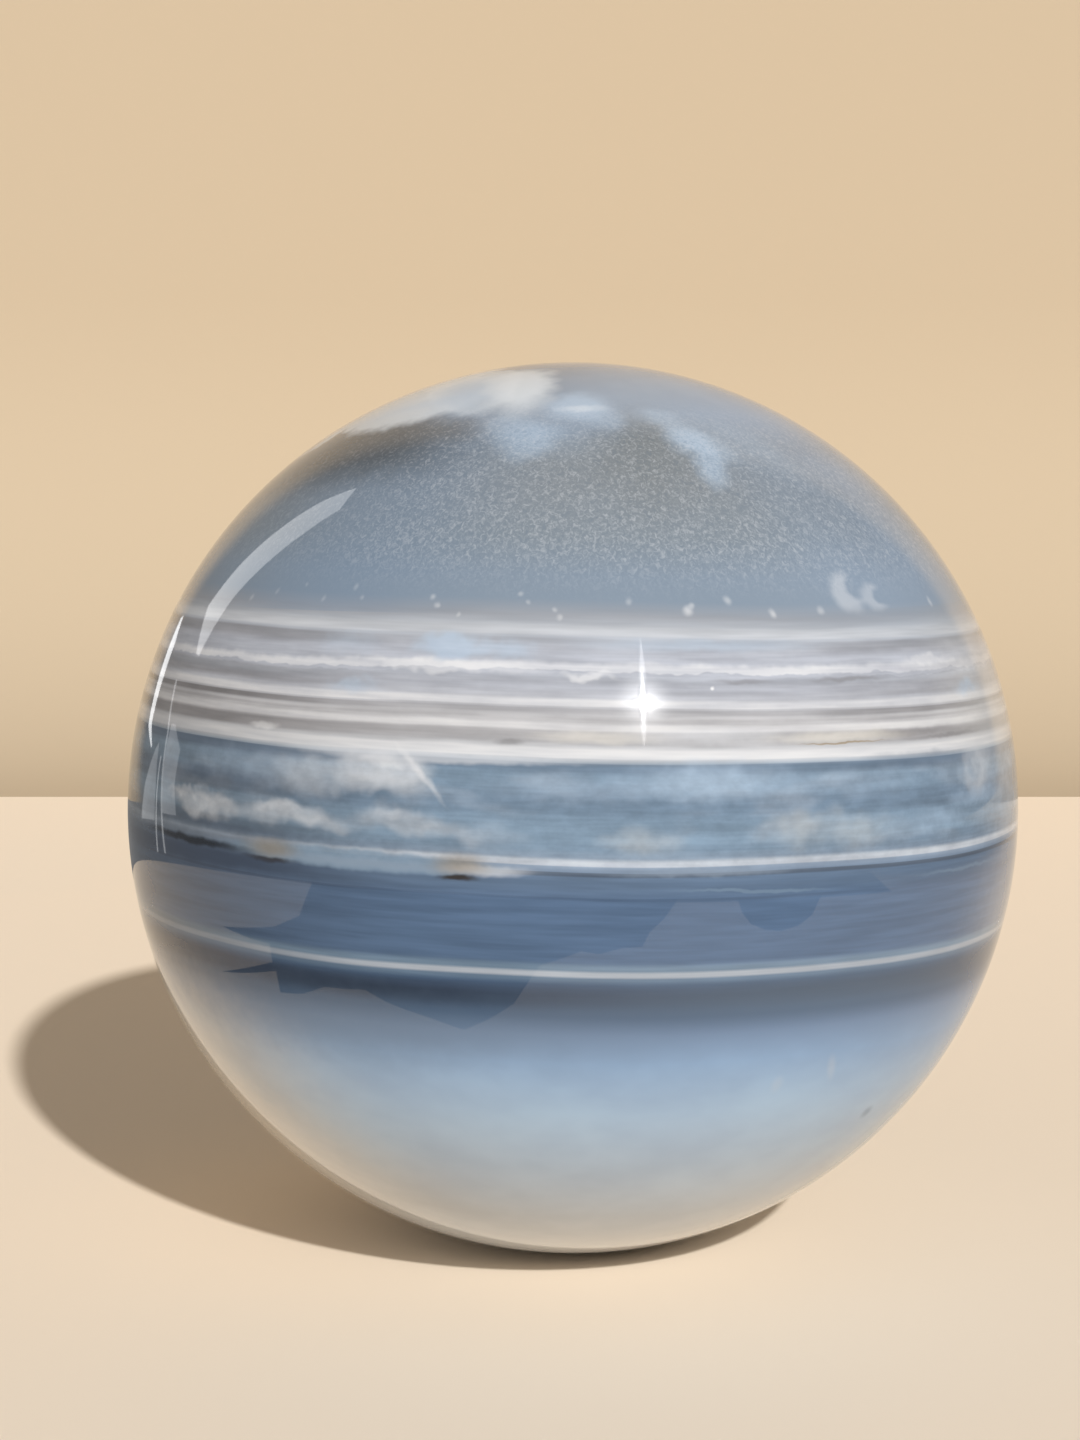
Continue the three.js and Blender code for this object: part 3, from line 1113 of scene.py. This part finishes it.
def photograph_camera():
    """Puts the camera where the stone has the photograph's size and place in the frame."""
    across = (STONE_CENTRE_PIXEL[0] - PHOTO_WIDTH / 2) / FOCAL_LENGTH_PIXELS
    down = (STONE_CENTRE_PIXEL[1] - PHOTO_HEIGHT / 2) / FOCAL_LENGTH_PIXELS
    ahead = Vector((0, math.cos(CAMERA_PITCH), -math.sin(CAMERA_PITCH)))
    above = Vector((0, math.sin(CAMERA_PITCH), math.cos(CAMERA_PITCH)))
    to_stone = (ahead + Vector((across, 0, 0)) - above * down).normalized()
    distance = STONE_RADIUS / math.sin(math.atan(STONE_RADIUS_PIXELS / FOCAL_LENGTH_PIXELS))
    camera_data = bpy.data.cameras.new("photograph_camera")
    camera_data.sensor_width = SENSOR_SIZE_MM
    camera_data.lens = SENSOR_SIZE_MM * FOCAL_LENGTH_PIXELS / PHOTO_HEIGHT
    camera_data.clip_start = CLIP_START
    camera = bpy.data.objects.new("photograph_camera", camera_data)
    camera.location = Vector((0, 0, CENTRE_HEIGHT)) - to_stone * distance
    camera.rotation_euler = (math.pi / 2 - CAMERA_PITCH, 0, 0)
    bpy.context.scene.collection.objects.link(camera)
    bpy.context.scene.camera = camera


KEY_STRENGTH = 3.65
KEY_WIDTH = math.radians(1.8)
KEY_SIDE = math.radians(20)
KEY_RISE = math.radians(31)
KEY_COLOUR = (1.0, 0.975, 0.94)
SKY_COLOUR = (0.79, 0.75, 0.7, 1)
SKY_STRENGTH = 0.3
FILL_PLACE = (-0.42, -0.32, 0.05)
FILL_AIM = (0, 0, 0.03)
FILL_SIZE = 0.3
FILL_POWER = 0.3
FILL_COLOUR = (1.0, 0.95, 0.88)


def lamp_that_looks(name, kind, place, aim):
    """A lamp of its own kind, at a place and turned towards a point."""
    lamp = bpy.data.objects.new(name, bpy.data.lights.new(name, kind))
    lamp.location = place
    lamp.rotation_euler = (Vector(place) - Vector(aim)).to_track_quat("Z", "Y").to_euler()
    bpy.context.scene.collection.objects.link(lamp)
    return lamp


def key_light():
    """A small bright light, high to the right behind the camera."""
    level = math.cos(KEY_RISE)
    towards = Vector((level * math.sin(KEY_SIDE), -level * math.cos(KEY_SIDE), math.sin(KEY_RISE)))
    light = lamp_that_looks("key", "SUN", towards, (0, 0, 0)).data
    light.energy = KEY_STRENGTH
    light.angle = KEY_WIDTH
    light.color = KEY_COLOUR


def low_fill():
    """A broad weak light, low on the left, that the polish doesn't mirror."""
    lamp = lamp_that_looks("low_fill", "AREA", FILL_PLACE, FILL_AIM)
    lamp.data.shape = "DISK"
    lamp.data.size = FILL_SIZE
    lamp.data.energy = FILL_POWER
    lamp.data.color = FILL_COLOUR
    lamp.visible_camera = False
    lamp.visible_glossy = False


# Cards that the polish mirrors. Each is given by the places on the stone where its edges show, as turns in
# degrees to the right of the front and heights in millimetres over the stone's centre.
CARD_DISTANCE = 0.4

# Bright cards off to the left, for the arc and for the lines near the rim: name, strength, and pairs of
# places on their outer and inner edge
LIGHT_CARDS = (
    ("arc_card", 2, (
        ((-41, 28.4), (-41.4, 26.6)),
        ((-47, 27.2), (-46, 24.6)),
        ((-53, 24.8), (-50.5, 22.2)),
        ((-57.5, 22), (-54.5, 19.2)),
        ((-60.8, 18.3), (-56.2, 16.6)),
        ((-58.2, 14.4), (-57.2, 14.3)),
    )),
    ("rim_card", 2.4, (
        ((-70, 17), (-69.2, 17.2)),
        ((-69.8, 14.9), (-67.4, 15)),
        ((-69.3, 12), (-67.1, 12.2)),
        ((-68.4, 8), (-66.9, 8.2)),
        ((-65.2, 6.2), (-65, 6.4)),
    )),
    ("outer_rim_shade", 0.75, (
        ((-63, 6.6), (-62.4, 6.8)),
        ((-66, 3), (-61.7, 3.2)),
        ((-66.8, 0.1), (-61.5, 0.4)),
    )),
    ("inner_rim_shade", 0.95, (
        ((-59.6, 8.6), (-58.4, 8.6)),
        ((-59.8, 6.6), (-55.8, 6.7)),
        ((-59.6, 3.6), (-56.1, 3.7)),
        ((-59.2, 1.2), (-55.2, 1.3)),
    )),
    ("long_line", 1.3, (
        ((-61.9, 12.1), (-61.4, 12.1)),
        ((-60.4, 7.8), (-59.95, 7.8)),
        ((-58.5, -2.1), (-58, -2.1)),
    )),
    ("short_line", 1.3, (((-61.3, 5.8), (-60.95, 5.8)), ((-60.8, -2.2), (-60.4, -2.2)))),
)

# Dark cards on the floor in front, a painted shadow cast across the floor there, which keep the floor's haze
# off parts of the stone
FLOOR_SHADOW_CARDS = (
    ("floor_shadow_card", (
        (-31, -2.2), (-33, -5), (-37, -6.2), (-46, -7), (-38, -7.7), (-38, -9.2), (-48, -11), (-37.6, -9.9),
        (-37.6, -11.7), (-34, -11.5), (-30.5, -10.6), (-25, -10.4), (-22, -11.3), (-17, -12.2), (-13, -13),
        (-10, -12), (-7, -10.6), (-5, -8.4), (-4, -7.4), (0.5, -6.2), (2.5, -6.4), (5, -5.9), (7.2, -5.8),
        (8, -4.6), (9.5, -3.6), (11, -2), (0, -2.05), (-10.5, -2.05), (-21, -2.1),
    )),
    ("round_floor_shadow_card", (
        (17.8, -2.2), (18.4, -3.3), (19.6, -4.2), (21.4, -4.7), (23.4, -4.85), (25.5, -4.5), (27.2, -3.7),
        (28.2, -2.2),
    )),
)
FLOOR_SHADOW_LIFT = 0.0004
PAINTED_FLOOR_SHADOW_COLOUR = srgb(30, 32, 36)
FLOOR_SHADOW_ROUGHNESS = 0.9

# The star about the key light's own glint: its middle, as a turn and a height, and its layers from the
# faintest in: the rays' lengths up, down and sideways on the stone in millimetres, and the strength
STAR_MIDDLE = (7.0, 12.65)
STAR_LAYERS = (
    (4.8, 3.4, 1.7, 5),
    (2.8, 2.3, 1.1, 16),
    (1.3, 1.3, 0.8, 60),
)
STAR_WAIST = 0.24
# Each layer stands before the last by this share of the distance, and the glow behind them all
STAR_LAYER_GAP = 0.02
# The soft glow about it: its radius on the stone in millimetres, and its strength in the middle
STAR_GLOW_RADIUS = 3.2
STAR_GLOW_STRENGTH = 12.0
STAR_GLOW_FACETS = 24


def mirrored_ray(turn, height):
    """The place on the stone at a turn and a height, and the way that the camera sees mirrored there."""
    level_radius = math.sqrt(RADIUS_MM ** 2 - height ** 2)
    around = math.radians(turn)
    on_bands = Vector((level_radius * math.sin(around), -level_radius * math.cos(around), height))
    outward = Matrix.Rotation(BAND_TILT, 3, "Y") @ on_bands / RADIUS_MM
    place = Vector((0, 0, CENTRE_HEIGHT)) + outward * STONE_RADIUS
    sight = (place - bpy.context.scene.camera.location).normalized()
    return place, sight - 2 * sight.dot(outward) * outward


def mirrored_place(turn, height, distance=CARD_DISTANCE):
    """The place that shows in the polish at a turn and a height, this far from the stone."""
    place, direction = mirrored_ray(turn, height)
    return place + direction * distance


def around_the_star(right, up):
    """The turn and the height of a place on the stone this many millimetres from the star's middle."""
    around, middle = STAR_MIDDLE
    return around + right * math.degrees(1 / math.sqrt(RADIUS_MM ** 2 - middle ** 2)), middle + up


def glow_finish(name, strength):
    finish = bpy.data.materials.new(name)
    finish.use_nodes = True
    tree = finish.node_tree
    tree.nodes.clear()
    glow = tree.nodes.new("ShaderNodeEmission")
    glow.inputs["Strength"].default_value = strength
    out = tree.nodes.new("ShaderNodeOutputMaterial")
    tree.links.new(glow.outputs[0], out.inputs["Surface"])
    # Only mirrored rays meet the cards, so nothing looks for their light
    finish.cycles.emission_sampling = "NONE"
    return finish


def light_cards():
    for name, strength, rows in LIGHT_CARDS:
        points = [[mirrored_place(turn, height) for turn, height in row] for row in rows]
        only_mirrored(sheet_of(name, points, glow_finish(name, strength)))


def floor_shadow_cards():
    # The cards are a painted shadow on the floor, which the polish mirrors as dark shapes
    finish = plain_finish("Painted Floor Shadow", PAINTED_FLOOR_SHADOW_COLOUR, FLOOR_SHADOW_ROUGHNESS)
    for name, outline in FLOOR_SHADOW_CARDS:
        points = []
        for turn, height in outline:
            place, direction = mirrored_ray(turn, height)
            points.append(place + direction * ((FLOOR_SHADOW_LIFT - place.z) / direction.z))
        only_mirrored(flat_card(name, points, finish))


def star_cards():
    """Star-shaped cards around the key light, one in front of another."""
    for layer, (up, down, side, strength) in enumerate(STAR_LAYERS):
        waist = side * STAR_WAIST
        rays_and_waists = (
            (0, up), (waist, waist), (side, 0), (waist, -waist),
            (0, -down), (-waist, -waist), (-side, 0), (-waist, waist),
        )
        distance = CARD_DISTANCE * (1 - STAR_LAYER_GAP * layer)
        outline = [mirrored_place(*around_the_star(*corner), distance) for corner in rays_and_waists]
        only_mirrored(flat_card("star_%d" % layer, outline, glow_finish("Star %d" % layer, strength)))


def star_glow():
    """A round card behind the star, whose light falls off to nothing at its rim."""
    distance = CARD_DISTANCE * (1 + STAR_LAYER_GAP)
    rim = []
    for step in range(STAR_GLOW_FACETS):
        turned = math.tau * step / STAR_GLOW_FACETS
        corner = (STAR_GLOW_RADIUS * math.cos(turned), STAR_GLOW_RADIUS * math.sin(turned))
        rim.append(mirrored_place(*around_the_star(*corner), distance))
    hub = sum(rim, Vector()) / len(rim)
    reach = sum((point - hub).length for point in rim) / len(rim)
    finish = glow_finish("Star Glow", STAR_GLOW_STRENGTH)
    nodes = Pattern(finish.node_tree)
    place = nodes.add("ShaderNodeTexCoord").outputs["Object"]
    away = nodes.vector("LENGTH", nodes.vector("SUBTRACT", place, tuple(hub)))
    fading = nodes.smooth(away, reach, 0)
    glow = finish.node_tree.nodes["Emission"]
    nodes.put(nodes.times(nodes.times(fading, fading), STAR_GLOW_STRENGTH), glow.inputs["Strength"])
    see_through = nodes.add("ShaderNodeBsdfTransparent")
    both = nodes.add("ShaderNodeAddShader", {0: glow.outputs[0], 1: see_through.outputs[0]})
    nodes.put(both.outputs[0], finish.node_tree.nodes["Material Output"].inputs["Surface"])
    only_mirrored(flat_card("star_glow", rim, finish))


def sky():
    world = bpy.data.worlds.new("soft_surroundings")
    world.use_nodes = True
    bpy.context.scene.world = world
    background = world.node_tree.nodes["Background"]
    background.inputs["Color"].default_value = SKY_COLOUR
    background.inputs["Strength"].default_value = SKY_STRENGTH


finishes = [agate(name, low, high) for name, low, high in ZONES]
stone = polished_stone(finishes)
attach(stone, "root")
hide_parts("agate_sphere")
floor_and_what_is_mirrored()
backdrop()
photograph_camera()
key_light()
low_fill()
light_cards()
floor_shadow_cards()
star_cards()
star_glow()
sky()
bpy.context.scene.view_settings.view_transform = "Standard"
